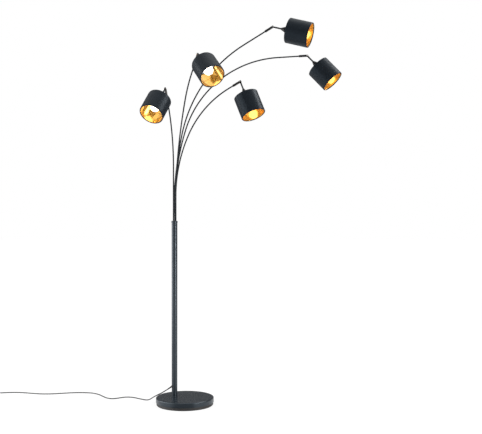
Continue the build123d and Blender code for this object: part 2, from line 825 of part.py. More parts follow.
cord_radii = bend_radii(cord_points)
print("cord bend radii", [round(radius) for radius in cord_radii])

with BuildPart() as mains_cord:
    with BuildLine() as route:
        FilletPolyline(*cord_points, radius=cord_radii)
    with BuildSketch(Plane(origin=cord_points[0], z_dir=gland_direction)):
        Circle(cord_radius)
    sweep(path=route.wires()[0])
cord_length = route.wires()[0].length
print("cord length", round(cord_length, 1))
cord_section = pi * cord_radius**2
print("cord volume over section times length", round(mains_cord.part.volume / cord_length / cord_section, 5))
write(mains_cord.part, "mains_cord")

# ------------------------------------------------------------------ foot switch
button_top = switch_height + button_proud
button_flange_top = switch_height - switch_wall - button_gap
button_bottom = button_flange_top - button_flange_thickness - button_skirt

with BuildPart() as foot_switch_case:
    with BuildSketch():
        with Locations((switch_x, switch_y)):
            SlotOverall(switch_length, switch_width)
    extrude(amount=switch_height)
    fillet(foot_switch_case.edges().group_by(Axis.Z)[-1], switch_edge_radius)
    with BuildSketch():
        with Locations((switch_x, switch_y)):
            SlotOverall(switch_length - 2 * switch_wall, switch_width - 2 * switch_wall)
    extrude(amount=switch_height - switch_wall - switch_edge_radius / 2, mode=Mode.SUBTRACT)
    with BuildSketch():
        with Locations((switch_x, switch_y)):
            Circle(button_flange_diameter / 2 + button_gap)
    extrude(amount=switch_height - switch_wall, mode=Mode.SUBTRACT)
    for side in (-1, 1):
        wall_x = switch_x + side * (switch_length / 2 - switch_wall)
        nose = Plane(origin=(wall_x, switch_y, switch_cord_height), z_dir=(side, 0, 0))
        with BuildSketch(nose):
            Circle(switch_nose_diameter / 2)
        extrude(amount=switch_wall + switch_nose_length)
        with BuildSketch(nose.offset(switch_wall + switch_nose_length)):
            Circle(cord_bore_radius)
        extrude(amount=-cord_seat_depth, mode=Mode.SUBTRACT)
    with BuildSketch():
        with Locations((switch_x, switch_y)):
            Circle(button_diameter / 2 + button_gap)
    extrude(amount=2 * switch_height, mode=Mode.SUBTRACT)
write(foot_switch_case.part, "foot_switch_case")

# Bottom plate with the post that holds the switch contacts under the button.
with BuildPart() as foot_switch_base:
    with BuildSketch():
        with Locations((switch_x, switch_y)):
            SlotOverall(
                switch_length - 2 * switch_wall - 2 * button_gap,
                switch_width - 2 * switch_wall - 2 * button_gap,
            )
    extrude(amount=switch_plate_thickness)
    for side in (-1, 1):
        wall_x = switch_x + side * (switch_length / 2 - switch_wall)
        with BuildSketch(Plane(origin=(wall_x, switch_y, switch_cord_height), z_dir=(side, 0, 0))):
            Circle(switch_nose_diameter / 2 + button_gap)
        extrude(amount=-switch_wall, both=True, mode=Mode.SUBTRACT)
    with BuildSketch(Plane.XY.offset(switch_plate_thickness)):
        with Locations((switch_x, switch_y)):
            Circle(switch_post_diameter / 2)
    extrude(amount=button_bottom - button_travel - button_gap - switch_plate_thickness)
write(foot_switch_base.part, "foot_switch_base")

with BuildPart() as foot_switch_button:
    with BuildSketch(Plane.XY.offset(button_bottom)):
        with Locations((switch_x, switch_y)):
            Circle(button_diameter / 2)
    extrude(amount=button_top - button_bottom)
    fillet(foot_switch_button.edges().group_by(Axis.Z)[-1], button_edge_radius)
    with BuildSketch(Plane.XY.offset(button_flange_top - button_flange_thickness)):
        with Locations((switch_x, switch_y)):
            Circle(button_flange_diameter / 2)
    extrude(amount=button_flange_thickness)
write(foot_switch_button.part, "foot_switch_button")

# ------------------------------------------------------------------ coil and plug
# One unbroken tube: out of the switch, down to the floor, in along a flat spiral, up one layer in the
# half turn where the spiral reverses, out along the second layer and straight on to the plug.
switch_left = switch_x - switch_length / 2 - switch_nose_length + cord_seat_depth
coil_centre = Vector(switch_left - coil_lead, switch_y - coil_radius, 0)
coil_half_turns = 4 * coil_turns_each_layer + 1
plug_seat = coil_centre + Vector(coil_tail + plug_straight, -coil_radius, plug_cord_height)


# A point of the coil, turns from its start: radius and height come from the layer it is in.
def coil_point(turns):
    inner_radius = coil_radius - coil_pitch * coil_turns_each_layer
    reversing = turns - coil_turns_each_layer
    if reversing < 0:
        radius = coil_radius - coil_pitch * turns
        rise = 0.0
    elif reversing < 0.5:
        radius = inner_radius - coil_pitch * reversing * (0.5 - reversing) * 2
        climb = reversing * 2
        rise = coil_layer_rise * climb * climb * (3 - 2 * climb)
    else:
        radius = inner_radius + coil_pitch * (reversing - 0.5)
        rise = coil_layer_rise
    angle = pi / 2 + 2 * pi * turns
    return coil_centre + Vector(radius * cos(angle), radius * sin(angle), cord_floor + rise)


def coil_tangent(turns):
    return (coil_point(turns + coil_probe_turns) - coil_point(turns - coil_probe_turns)).normalized()


# Two arcs that join two points and leave each along its own direction, meeting smoothly between.
def biarc_middle(start, start_direction, end, end_direction):
    chord = end - start
    both = start_direction + end_direction
    square = 2 * (1 - start_direction.dot(end_direction))
    if square < same_direction_limit:
        reach = chord.length ** 2 / (4 * chord.dot(end_direction))
    else:
        half = chord.dot(both)
        reach = (sqrt(half * half + square * chord.length ** 2) - half) / square
    return (start + start_direction * reach + end - end_direction * reach) * 0.5


stations = [
    (Vector(switch_left, switch_y, switch_cord_height), Vector(-1, 0, 0)),
    (Vector(switch_left - plug_straight, switch_y, switch_cord_height), Vector(-1, 0, 0)),
    (coil_point(0), Vector(-1, 0, 0)),
]
for quarter in range(1, 2 * coil_half_turns):
    stations.append((coil_point(quarter / 4), coil_tangent(quarter / 4)))
stations.append((coil_point(coil_half_turns / 2), Vector(1, 0, 0)))
stations.append((plug_seat - Vector(plug_straight, 0, 0), Vector(1, 0, 0)))
stations.append((plug_seat, Vector(1, 0, 0)))

with BuildPart() as cord_coil:
    with BuildLine() as coil_path:
        Line(stations[0][0], stations[1][0])
        for (start, start_direction), (end, end_direction) in zip(stations[1:-2], stations[2:-1]):
            middle = biarc_middle(start, start_direction, end, end_direction)
            first_arc = TangentArc(start, middle, tangent=start_direction)
            TangentArc(middle, end, tangent=first_arc % 1)
        Line(stations[-2][0], stations[-1][0])
    with BuildSketch(Plane(origin=stations[0][0], z_dir=(-1, 0, 0))):
        Circle(cord_radius)
    sweep(path=coil_path.wires()[0])
coil_wire = coil_path.wires()[0]
coil_length = coil_wire.length
print("coil length", round(coil_length, 1))
print("coil volume over section times length", round(cord_coil.part.volume / coil_length / cord_section, 5))
print("whole cord", round(cord_length + coil_length, 1))
write(cord_coil.part, "cord_coil")

# The coil's least gap to itself, between sample points that lie further apart along the cord.
sample_places = [gap_sample_step * index for index in range(int(coil_length / gap_sample_step))]
samples = [coil_wire.position_at(place / coil_length) for place in sample_places]
apart = int(gap_sample_apart / gap_sample_step)
least = min(
    (samples[later] - samples[early]).length
    for early in range(len(samples))
    for later in range(early + apart, len(samples))
)
print("least gap in the coil", round(least - cord_diameter, 2))

plug_nose_start = plug_seat.X - cord_seat_depth
plug_face = plug_nose_start + plug_nose_length + plug_length
with BuildPart() as plug_body:
    with BuildSketch(Plane(origin=(plug_nose_start, plug_seat.Y, plug_cord_height), z_dir=(1, 0, 0))):
        Circle(plug_nose_diameter / 2)
    extrude(amount=plug_nose_length + plug_length / 2)
    with BuildSketch(Plane.XY.offset(plug_cord_height - plug_thickness / 2)):
        with BuildLine():
            Polyline(
                (plug_nose_start + plug_nose_length, plug_seat.Y + plug_shoulder_width / 2),
                (plug_face - plug_length / 2, plug_seat.Y + plug_width / 2),
                (plug_face, plug_seat.Y + plug_width / 2),
                (plug_face, plug_seat.Y - plug_width / 2),
                (plug_face - plug_length / 2, plug_seat.Y - plug_width / 2),
                (plug_nose_start + plug_nose_length, plug_seat.Y - plug_shoulder_width / 2),
                close=True,
            )
        make_face()
    extrude(amount=plug_thickness)
    long_edges = plug_body.edges().filter_by(Plane.XY).filter_by(GeomType.LINE).group_by(Axis.Z)[-1]
    fillet(long_edges, plug_edge_radius)
    with BuildSketch(Plane(origin=(plug_nose_start, plug_seat.Y, plug_cord_height), z_dir=(1, 0, 0))):
        Circle(cord_bore_radius)
    extrude(amount=cord_seat_depth, mode=Mode.SUBTRACT)
    pin_root = Plane(origin=(plug_face, plug_seat.Y, plug_cord_height), z_dir=(1, 0, 0), x_dir=(0, 1, 0))
    with BuildSketch(pin_root):
        with GridLocations(plug_pin_spacing, 0, 2, 1):
            Circle(plug_pin_root_diameter / 2)
    extrude(amount=-plug_pin_root_length, mode=Mode.SUBTRACT)
with BuildPart() as plug_pins:
    with BuildSketch(pin_root):
        with GridLocations(plug_pin_spacing, 0, 2, 1):
            Circle(plug_pin_diameter / 2)
    extrude(amount=plug_pin_length)
    fillet(plug_pins.edges().group_by(Axis.X)[-1], plug_pin_tip_radius)
    with BuildSketch(pin_root):
        with GridLocations(plug_pin_spacing, 0, 2, 1):
            Circle(plug_pin_root_diameter / 2)
    extrude(amount=-plug_pin_root_length)
write_group([plug_body, plug_pins], "mains_plug")
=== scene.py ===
import bpy
import json
import numpy as np
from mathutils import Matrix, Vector


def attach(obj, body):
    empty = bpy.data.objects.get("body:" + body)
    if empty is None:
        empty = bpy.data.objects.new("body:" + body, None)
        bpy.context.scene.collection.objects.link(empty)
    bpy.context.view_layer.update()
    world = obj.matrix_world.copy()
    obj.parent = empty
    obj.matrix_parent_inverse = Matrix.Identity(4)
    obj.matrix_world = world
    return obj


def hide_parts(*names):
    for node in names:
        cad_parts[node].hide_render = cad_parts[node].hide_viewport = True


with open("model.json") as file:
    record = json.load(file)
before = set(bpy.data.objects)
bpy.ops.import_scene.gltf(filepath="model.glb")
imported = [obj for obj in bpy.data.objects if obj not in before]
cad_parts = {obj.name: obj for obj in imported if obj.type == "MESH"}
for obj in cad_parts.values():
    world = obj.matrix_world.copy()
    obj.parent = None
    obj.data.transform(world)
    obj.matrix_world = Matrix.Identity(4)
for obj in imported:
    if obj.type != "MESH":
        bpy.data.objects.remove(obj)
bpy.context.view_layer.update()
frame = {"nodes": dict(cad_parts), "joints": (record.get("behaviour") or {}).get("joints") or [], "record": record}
nodes = frame["nodes"]
print("stage: frame loaded")

cameraView = {"place": (0.2911, -4.193, 0.973), "lens": 60.35, "sensor": 36.0, "farClip": 200.0}


# a level camera that looks along the y axis
def addCamera(values):
    data = bpy.data.cameras.new("lampCamera")
    data.lens = values["lens"]
    data.sensor_width = values["sensor"]
    data.clip_end = values["farClip"]
    camera = bpy.data.objects.new("lampCamera", data)
    camera.location = values["place"]
    camera.rotation_euler = (np.pi / 2, 0.0, 0.0)
    bpy.context.scene.collection.objects.link(camera)
    bpy.context.scene.camera = camera


addCamera(cameraView)
bpy.context.scene.view_settings.view_transform = "Standard"
print("stage: camera")


# helpers for node trees: a new material with its tree and its main shader
def newMaterial(name):
    material = bpy.data.materials.new(name)
    material.use_nodes = True
    tree = material.node_tree
    return material, tree, tree.nodes["Principled BSDF"]


def addNode(tree, kind, **settings):
    node = tree.nodes.new(kind)
    for key, value in settings.items():
        setattr(node, key, value)
    return node


def join(tree, source, target):
    tree.links.new(source, target)


# a Math node on two inputs that are sockets or numbers
def calc(tree, operation, first, second=0.0):
    node = addNode(tree, "ShaderNodeMath", operation=operation)
    for index, value in enumerate((first, second)):
        if isinstance(value, (int, float)):
            node.inputs[index].default_value = value
        else:
            join(tree, value, node.inputs[index])
    return node.outputs[0]


# Object coordinates in metres, or the piece's own UV map, also in metres
def coordinates(tree, source="Object", scale=(1.0, 1.0, 1.0)):
    if source == "UV":
        start = addNode(tree, "ShaderNodeUVMap", uv_map="UVMap").outputs["UV"]
    else:
        start = addNode(tree, "ShaderNodeTexCoord").outputs["Object"]
    mapping = addNode(tree, "ShaderNodeMapping")
    mapping.inputs["Scale"].default_value = scale
    join(tree, start, mapping.inputs["Vector"])
    return mapping.outputs["Vector"]


def noise(tree, vector, scale, detail, roughness=0.5):
    node = addNode(tree, "ShaderNodeTexNoise")
    node.inputs["Scale"].default_value = scale
    node.inputs["Detail"].default_value = detail
    node.inputs["Roughness"].default_value = roughness
    join(tree, vector, node.inputs["Vector"])
    return node.outputs["Fac"]


# a value between fromLow and fromHigh spread over a range of numbers
def spread(tree, value, low, high, fromLow=0.25, fromHigh=0.75):
    node = addNode(tree, "ShaderNodeMapRange")
    ends = {"From Min": fromLow, "From Max": fromHigh, "To Min": low, "To Max": high}
    for key, number in ends.items():
        node.inputs[key].default_value = number
    join(tree, value, node.inputs["Value"])
    return node.outputs["Result"]


# inputs 6 and 7 of a Mix node are its two colours, and output 2 is the mixed one
def mixColours(tree, factor, first, second):
    node = addNode(tree, "ShaderNodeMix", data_type="RGBA")
    join(tree, factor, node.inputs["Factor"])
    for socket, value in ((node.inputs[6], first), (node.inputs[7], second)):
        if isinstance(value, tuple):
            socket.default_value = (*value, 1.0)
        else:
            join(tree, value, socket)
    return node.outputs[2]


def addBump(tree, shader, height, distance, strength):
    node = addNode(tree, "ShaderNodeBump")
    node.inputs["Distance"].default_value = distance
    node.inputs["Strength"].default_value = strength
    join(tree, height, node.inputs["Height"])
    join(tree, node.outputs["Normal"], shader.inputs["Normal"])


def setSockets(shader, values):
    for key, value in values.items():
        shader.inputs[key].default_value = value


def splitCoordinates(tree, place):
    split = addNode(tree, "ShaderNodeSeparateXYZ")
    join(tree, place, split.inputs["Vector"])
    return split.outputs


# what most finishes share: tone mixes the two colours, gloss spreads the roughness between its
# lowest and highest value, height is the relief, and the rest is set on the shader's sockets
def layFinish(tree, shader, values, tone, gloss, height):
    colour = mixColours(tree, tone, values["colour"], values["lighter"])
    join(tree, colour, shader.inputs["Base Color"])
    join(tree, spread(tree, gloss, *values["roughness"]), shader.inputs["Roughness"])
    addBump(tree, shader, height, *values["bump"])
    setSockets(shader, values["sockets"])


# in the finishes' dictionaries a pattern is (scale, detail) or (scale, detail, roughness) of its
# noise, bump is (depth in metres, strength), and roughness is (lowest, highest)
basePaint = {"patches": (9.0, 4.0), "bump": (0.00002, 0.6)}
standPaint = {**basePaint, "colour": (0.016, 0.021, 0.027), "lighter": (0.021, 0.027, 0.034),
              "grain": (900.0, 2.0), "roughness": (0.22, 0.30),
              "sockets": {"Specular IOR Level": 0.50, "Specular Tint": (0.78, 0.90, 1.0, 1.0)}}
armPaint = {**basePaint, "colour": (0.0060, 0.0068, 0.0080), "lighter": (0.0085, 0.0096, 0.0115),
            "grain": (1100.0, 2.0), "roughness": (0.30, 0.40),
            "sockets": {"Specular IOR Level": 0.20, "Specular Tint": (0.78, 0.90, 1.0, 1.0)}}
lacquer = {**basePaint, "colour": (0.005, 0.006, 0.010), "lighter": (0.008, 0.010, 0.016),
           "grain": (1400.0, 2.0), "roughness": (0.24, 0.32),
           "sockets": {"Specular IOR Level": 0.25}}


# powder coat: two close tones in soft patches, a fine orange-peel grain, a slightly uneven gloss
def powderCoat(name, values):
    material, tree, shader = newMaterial(name)
    place = coordinates(tree)
    patches = noise(tree, place, *values["patches"])
    grain = noise(tree, place, *values["grain"])
    layFinish(tree, shader, values, patches, grain, grain)
    return material


castIron = {"colour": (0.020, 0.021, 0.023), "rust": (0.034, 0.028, 0.024), "rustShare": 0.6,
            "sand": (420.0, 5.0, 0.65), "patches": (22.0, 3.0), "bump": (0.0004, 0.7),
            "roughness": (0.55, 0.75)}


# casting: coarse sand texture with a few browner patches
def casting(name, values):
    material, tree, shader = newMaterial(name)
    place = coordinates(tree)
    sand = noise(tree, place, *values["sand"])
    patches = spread(tree, noise(tree, place, *values["patches"]), 0.0, values["rustShare"])
    colour = mixColours(tree, patches, values["colour"], values["rust"])
    join(tree, colour, shader.inputs["Base Color"])
    join(tree, spread(tree, sand, *values["roughness"]), shader.inputs["Roughness"])
    addBump(tree, shader, sand, *values["bump"])
    return material


foam = {"colour": (0.014, 0.014, 0.014), "lighter": (0.030, 0.030, 0.030), "cells": 1500.0,
        "bump": (0.0003, 0.8), "sockets": {"Roughness": 0.85, "Specular IOR Level": 0.25}}


# foam rubber: small round cells, darker at their edges
def foamRubber(name, values):
    material, tree, shader = newMaterial(name)
    cells = addNode(tree, "ShaderNodeTexVoronoi")
    cells.inputs["Scale"].default_value = values["cells"]
    join(tree, coordinates(tree), cells.inputs["Vector"])
    distance = cells.outputs["Distance"]
    colour = mixColours(tree, distance, values["lighter"], values["colour"])
    join(tree, colour, shader.inputs["Base Color"])
    addBump(tree, shader, distance, *values["bump"])
    setSockets(shader, values["sockets"])
    return material


baseMetal = {"stretch": (1.0, 1.0, 0.06), "clouds": (160.0, 3.0), "bump": (0.00001, 0.5),
             "sockets": {"Metallic": 1.0}}
nickel = {**baseMetal, "colour": (0.66, 0.65, 0.63), "lighter": (0.76, 0.75, 0.73),
          "scratches": (3500.0, 2.0), "roughness": (0.16, 0.28)}
zinc = {**baseMetal, "colour": (0.50, 0.51, 0.52), "lighter": (0.62, 0.62, 0.60),
        "scratches": (1500.0, 2.0), "roughness": (0.30, 0.45)}


# bare metal: fine scratches drawn out along one direction, and cloudy patches
def bareMetal(name, values):
    material, tree, shader = newMaterial(name)
    scratches = noise(tree, coordinates(tree, scale=values["stretch"]), *values["scratches"])
    clouds = noise(tree, coordinates(tree), *values["clouds"])
    layFinish(tree, shader, values, clouds, scratches, scratches)
    return material


baseGloss = {"dust": (2600.0, 2.0), "roughness": (0.12, 0.22), "bump": (0.00004, 0.4)}
gripGloss = {**baseGloss, "colour": (0.003, 0.003, 0.004), "lighter": (0.005, 0.005, 0.006),
             "flow": (240.0, 2.0),
             "sockets": {"Specular IOR Level": 0.30, "Coat Weight": 0.2, "Coat Roughness": 0.06}}
holderGloss = {**baseGloss, "colour": (0.003, 0.003, 0.004), "lighter": (0.006, 0.006, 0.007),
               "flow": (160.0, 2.0),
               "sockets": {"Specular IOR Level": 0.15, "Coat Weight": 0.05, "Coat Roughness": 0.06}}
switchGloss = {**baseGloss, "colour": (0.010, 0.010, 0.011), "lighter": (0.015, 0.015, 0.017),
               "flow": (60.0, 2.0),
               "sockets": {"Specular IOR Level": 0.5, "Coat Weight": 0.5, "Coat Roughness": 0.06}}


# glossy moulding: faint flow marks in the colour and in the surface, under a clear polish
def glossyPlastic(name, values):
    material, tree, shader = newMaterial(name)
    place = coordinates(tree)
    flow = noise(tree, place, *values["flow"])
    dust = noise(tree, place, *values["dust"])
    layFinish(tree, shader, values, flow, dust, flow)
    return material


mattMoulding = {"colour": (0.014, 0.014, 0.015), "lighter": (0.022, 0.022, 0.024),
                "spark": (1300.0, 3.0, 0.6), "flow": (70.0, 2.0), "roughness": (0.48, 0.62),
                "bump": (0.00008, 0.6), "sockets": {}}


# matt moulding: the fine spark-eroded texture of the mould
def mattPlastic(name, values):
    material, tree, shader = newMaterial(name)
    place = coordinates(tree)
    spark = noise(tree, place, *values["spark"])
    flow = noise(tree, place, *values["flow"])
    layFinish(tree, shader, values, flow, spark, spark)
    return material


cordSheath = {"colour": (0.018, 0.018, 0.020), "lighter": (0.028, 0.028, 0.030),
              "grain": (900.0, 2.0), "dull": (45.0, 3.0), "roughness": (0.38, 0.55),
              "bump": (0.00004, 0.5), "sockets": {}}


# extruded sheath: satin, with a fine grain and dull patches from handling
def sheath(name, values):
    material, tree, shader = newMaterial(name)
    place = coordinates(tree)
    dull = noise(tree, place, *values["dull"])
    grain = noise(tree, place, *values["grain"])
    layFinish(tree, shader, values, dull, dull, grain)
    return material


# thread is the width of one thread and hemEdges are the wall's ends on the UV map, in metres;
# the slubs, which are thicker threads, are noise that is stretched along each thread
textile = {"colour": (0.0085, 0.0110, 0.0146), "lighter": (0.0130, 0.0164, 0.0212),
           "hem": (0.0045, 0.0075, 0.0180), "hemEdges": (0.0045, 0.1165), "thread": 0.00062,
           "crossing": 0.45, "slubs": (900.0, 2.0), "slubStretch": 0.06, "slubHeight": 0.35,
           "slubRange": (0.4, 0.75), "slubTone": 0.6, "clouds": (30.0, 3.0), "cloudTone": 0.4,
           "roughness": (0.36, 0.46), "bump": (0.00004, 0.5),
           "sockets": {"Specular IOR Level": 0.14, "Specular Tint": (0.65, 0.84, 1.0, 1.0),
                       "Sheen Weight": 0.02, "Sheen Roughness": 0.4,
                       "Sheen Tint": (0.65, 0.84, 1.0, 1.0)}}


# plain weave on the piece's own UV map, in metres: threads cross over and under each other, some
# are thicker and paler than others, the hems are darker, and the cloth has a soft sheen
def weave(name, values):
    material, tree, shader = newMaterial(name)
    place = coordinates(tree, "UV")
    split = splitCoordinates(tree, place)
    turn = np.pi / values["thread"]
    across = calc(tree, "SINE", calc(tree, "MULTIPLY", split["X"], turn))
    along = calc(tree, "SINE", calc(tree, "MULTIPLY", split["Y"], turn))
    crossing = calc(tree, "MULTIPLY", calc(tree, "MULTIPLY", across, along), values["crossing"])
    ribs = calc(tree, "MAXIMUM", calc(tree, "ABSOLUTE", across), calc(tree, "ABSOLUTE", along))
    acrossPlace = coordinates(tree, "UV", (values["slubStretch"], 1.0, 1.0))
    alongPlace = coordinates(tree, "UV", (1.0, values["slubStretch"], 1.0))
    slub = calc(tree, "MAXIMUM", noise(tree, acrossPlace, *values["slubs"]),
                noise(tree, alongPlace, *values["slubs"]))
    height = calc(tree, "ADD", calc(tree, "ADD", crossing, ribs),
                  calc(tree, "MULTIPLY", slub, values["slubHeight"]))
    slubPart = spread(tree, slub, 0.0, 1.0, *values["slubRange"])
    tone = calc(tree, "ADD", calc(tree, "MULTIPLY", slubPart, values["slubTone"]),
                calc(tree, "MULTIPLY", noise(tree, place, *values["clouds"]), values["cloudTone"]))
    low, high = values["hemEdges"]
    inWall = calc(tree, "MULTIPLY", calc(tree, "GREATER_THAN", split["Y"], low),
                  calc(tree, "LESS_THAN", split["Y"], high))
    cloth = mixColours(tree, tone, values["colour"], values["lighter"])
    join(tree, mixColours(tree, inWall, values["hem"], cloth), shader.inputs["Base Color"])
    join(tree, spread(tree, slub, *values["roughness"]), shader.inputs["Roughness"])
    addBump(tree, shader, height, *values["bump"])
    setSockets(shader, values["sockets"])
    return material


foil = {"colour": (0.69, 0.375, 0.060), "lighter": (0.74, 0.425, 0.090), "creases": (60.0, 3.0),
        "creaseStretch": 0.25, "haze": (350.0, 3.0), "roughness": (0.10, 0.15),
        "bump": (0.00002, 0.25), "sockets": {"Metallic": 0.6}}


# gold foil on card: a warm metal with faint creases across it
def goldFoil(name, values):
    material, tree, shader = newMaterial(name)
    creasePlace = coordinates(tree, "UV", (1.0, values["creaseStretch"], 1.0))
    creases = noise(tree, creasePlace, *values["creases"])
    haze = noise(tree, coordinates(tree, "UV"), *values["haze"])
    layFinish(tree, shader, values, creases, haze, creases)
    return material


# the glow rises from neckGlow to 1 over the first glowRise metres of the glass
opal = {"colour": (0.92, 0.90, 0.86), "paler": (0.96, 0.95, 0.92), "mottle": (120.0, 2.0),
        "strength": 5.0, "neckGlow": 0.35, "glowRise": 0.030,
        "sockets": {"Emission Color": (1.0, 0.95, 0.86, 1.0), "Roughness": 0.18,
                    "Coat Weight": 0.3}}


# opal glass, lit from inside: brighter in the middle of the ball than where the neck begins
def opalGlass(name, values):
    material, tree, shader = newMaterial(name)
    place = coordinates(tree, "UV")
    fromNeck = splitCoordinates(tree, place)["Y"]
    glow = spread(tree, fromNeck, values["neckGlow"], 1.0, 0.0, values["glowRise"])
    mottle = noise(tree, place, *values["mottle"])
    colour = mixColours(tree, mottle, values["colour"], values["paler"])
    join(tree, colour, shader.inputs["Base Color"])
    strength = calc(tree, "MULTIPLY", glow, values["strength"])
    join(tree, strength, shader.inputs["Emission Strength"])
    setSockets(shader, values["sockets"])
    return material


finishes = {
    "stand_paint": powderCoat("standPaint", standPaint),
    "arm_paint": powderCoat("armPaint", armPaint),
    "frame_paint": powderCoat("frameLacquer", lacquer),
    "ballast": casting("castWeight", castIron),
    "floor_pad": foamRubber("padFoam", foam),
    "nickel": bareMetal("nickelPlate", nickel),
    "zinc_steel": bareMetal("zincPlate", zinc),
    "grip_gloss": glossyPlastic("gripGloss", gripGloss),
    "switch_gloss": glossyPlastic("switchGloss", switchGloss),
    "holder_moulding": glossyPlastic("holderGloss", holderGloss),
    "black_moulding": mattPlastic("blackMoulding", mattMoulding),
    "cord_sheath": sheath("cordSheath", cordSheath),
    "flex_sheath": sheath("flexSheath", cordSheath),
    "shade_textile": weave("shadeTextile", textile),
    "gold_foil": goldFoil("goldFoil", foil),
    "opal_glass": opalGlass("opalGlass", opal),
}
for entry in frame["record"]["subparts"]:
    for materialSlot in nodes[entry["node"]].material_slots:
        materialSlot.material = finishes[entry["material_slot"]]
print("stage: finishes")


# distances in metres over a grid: along its longest row, and between its rows on average
def surfaceDistances(grid):
    alongRows = np.linalg.norm(np.roll(grid, -1, 1) - grid, axis=2)
    betweenRows = np.linalg.norm(np.roll(grid, -1, 0) - grid, axis=2).mean(1)
    longest = alongRows[alongRows.sum(1).argmax()]
    return [np.concatenate([[0.0], np.cumsum(steps)]) for steps in (longest, betweenRows)]


# grid: rows x columns x 3 points; closed along rows and columns where the surface meets itself;
# the UV map holds the distances over the grid; faces are turned to point outwards, which they do
# when the volume under them, added up as (first corner) . (second x third), is positive
def gridSurface(name, grid, closeRows, closeColumns, finish, body):
    rows, columns = grid.shape[:2]
    rowNumbers = np.arange(rows if closeRows else rows - 1)
    columnNumbers = np.arange(columns if closeColumns else columns - 1)
    r, c = np.meshgrid(rowNumbers, columnNumbers, indexing="ij")
    rNext, cNext = (r + 1) % rows, (c + 1) % columns
    quads = np.stack([r * columns + c, r * columns + cNext,
                      rNext * columns + cNext, rNext * columns + c], -1).reshape(-1, 4)
    points = grid.reshape(-1, 3)
    first, second, third, fourth = (points[quads[:, corner]] for corner in range(4))
    volume = (first * np.cross(second, third)).sum() + (first * np.cross(third, fourth)).sum()
    u, v = surfaceDistances(grid)
    cornerSteps = ((0, 0), (1, 0), (1, 1), (0, 1))
    corners = [np.stack([u[c + right], v[r + down]], -1) for right, down in cornerSteps]
    corners = np.stack(corners, -2).reshape(-1, 4, 2)
    if volume < 0:
        quads, corners = quads[:, ::-1], corners[:, ::-1]
    mesh = bpy.data.meshes.new(name)
    mesh.from_pydata(points.tolist(), [], quads.tolist())
    mesh.polygons.foreach_set("use_smooth", np.ones(len(quads), bool))
    mesh.uv_layers.new(name="UVMap").data.foreach_set("uv", corners.reshape(-1))
    mesh.materials.append(finishes[finish])
    mesh.update()
    piece = bpy.data.objects.new(name, mesh)
    bpy.context.scene.collection.objects.link(piece)
    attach(piece, body)
    return piece


# a profile of (radius, distance) pairs turned about an axis: point = start + axis x distance
# + radius x (side x cos angle + other x sin angle), with the radius changed by
# swell(angles, distances)
def turned(profile, start, axis, side, segments, swell=None):
    angles = np.arange(segments) * 2 * np.pi / segments
    other = np.cross(axis, side)
    radius = np.repeat(profile[:, :1], segments, 1)
    if swell is not None:
        radius = radius + swell(angles[None, :], profile[:, 1:])
    ring = np.cos(angles)[:, None] * side + np.sin(angles)[:, None] * other
    along = profile[:, 1][:, None, None] * axis
    return start + along + radius[:, :, None] * ring[None, :, :]


# a round tube along a line of points: at each point a circle of that place's radius stands square
# to the line: point + radius x (side x cos angle + upward x sin angle), with side level
def sleeve(line, radii, segments):
    tangent = np.gradient(line, axis=0)
    tangent /= np.linalg.norm(tangent, axis=1)[:, None]
    side = np.cross(tangent, (0.0, 0.0, 1.0))
    side /= np.linalg.norm(side, axis=1)[:, None]
    upward = np.cross(side, tangent)
    angles = (np.arange(segments) * 2 * np.pi / segments)[None, :, None]
    ring = np.cos(angles) * side[:, None, :] + np.sin(angles) * upward[:, None, :]
    return line[:, None, :] + radii[:, None, None] * ring


# the route of the cord from the pole to the foot switch, the same points as in the solids
cordRun = {"diameter": 0.0056, "length": 1.2160, "points": [
    (-0.067491, 0.016358, 0.0920), (-0.078599, 0.007037, 0.085238), (-0.1030, -0.0070, 0.0715),
    (-0.1270, -0.0160, 0.0595), (-0.1500, -0.0135, 0.0485), (-0.1690, 0.0035, 0.0345),
    (-0.1840, 0.0310, 0.0205), (-0.2010, 0.0620, 0.0090), (-0.2220, 0.0970, 0.0029),
    (-0.2520, 0.1210, 0.0029), (-0.2880, 0.1540, 0.0029), (-0.3290, 0.1640, 0.0029),
    (-0.3650, 0.1360, 0.0029), (-0.3970, 0.1170, 0.0029), (-0.4300, 0.1380, 0.0029),
    (-0.4580, 0.1810, 0.0029), (-0.4860, 0.2260, 0.0029), (-0.5250, 0.2600, 0.0029),
    (-0.5720, 0.2710, 0.0029), (-0.6280, 0.2710, 0.0029), (-0.6860, 0.2560, 0.0029),
    (-0.7420, 0.2380, 0.0029), (-0.8000, 0.2360, 0.0029), (-0.8580, 0.2520, 0.0029),
    (-0.9150, 0.2720, 0.0029), (-0.9700, 0.2770, 0.0029), (-1.0180, 0.2680, 0.0029),
    (-1.0520, 0.2625, 0.0029), (-1.0770, 0.2600, 0.0070), (-1.0910, 0.2600, 0.0070)]}
cordCoil = {"diameter": 0.0056, "length": 0.907, "centre": (-1.222, 0.224), "radius": 0.036,
            "pitch": 0.0063, "rise": 0.0062, "floor": 0.0029, "layerTurns": 2, "climbTurns": 0.5,
            "perTurn": 16,
            "lead": [(-1.179, 0.260, 0.007), (-1.191, 0.260, 0.007), (-1.207, 0.260, 0.0040)],
            "tail": [(-1.206, 0.188, 0.0086), (-1.190, 0.188, 0.007), (-1.178, 0.188, 0.007)]}
cordCurve = {"order": 3, "resolution": 10, "roundness": 6}


